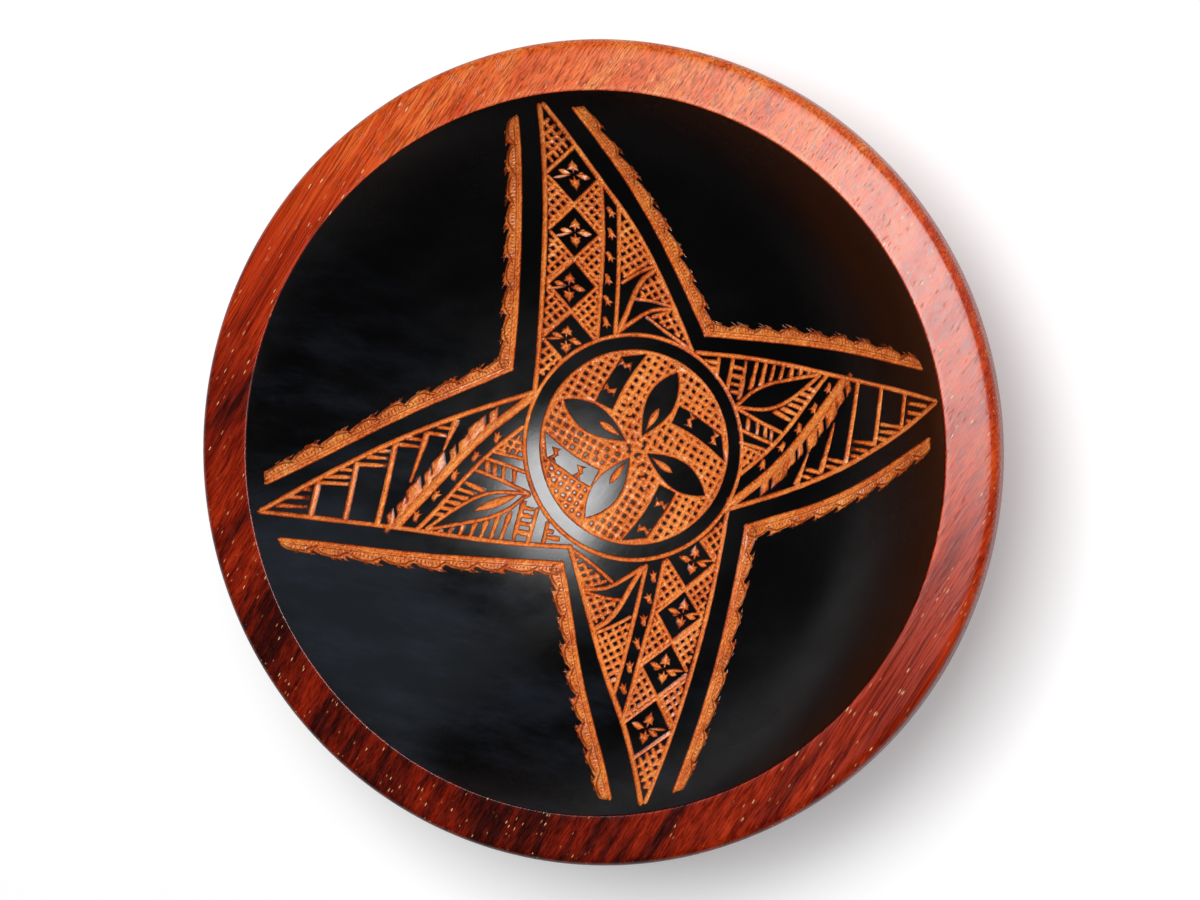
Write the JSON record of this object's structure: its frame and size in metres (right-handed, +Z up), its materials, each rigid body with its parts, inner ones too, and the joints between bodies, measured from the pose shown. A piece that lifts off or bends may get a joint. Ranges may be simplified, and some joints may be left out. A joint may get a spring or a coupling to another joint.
{
  "type": "kava bowl",
  "caption": "Wide round wooden dish on short legs for mixing and serving a drink, with a broad rim and a black coated inside carved with a star.",
  "frame": {"origin": "on the surface that the feet stand on, under the middle of the bowl", "axes": "+Z up through the middle of the mouth, +Y towards the star arm that points up in the picture, +X towards its right arm"},
  "size_m": [0.4, 0.4, 0.14],
  "materials": {
    "wood": "satin lacquer over oiled red-brown hardwood",
    "leg_wood": "satin lacquer over oiled red-brown hardwood",
    "black_lacquer": "satin black stain and lacquer"
  },
  "bodies": {
    "root": {"bowl": "wood", "black_coat": "black_lacquer", "leg_1": "leg_wood", "leg_2": "leg_wood", "leg_3": "leg_wood", "leg_4": "leg_wood"}
  },
  "joints": []
}
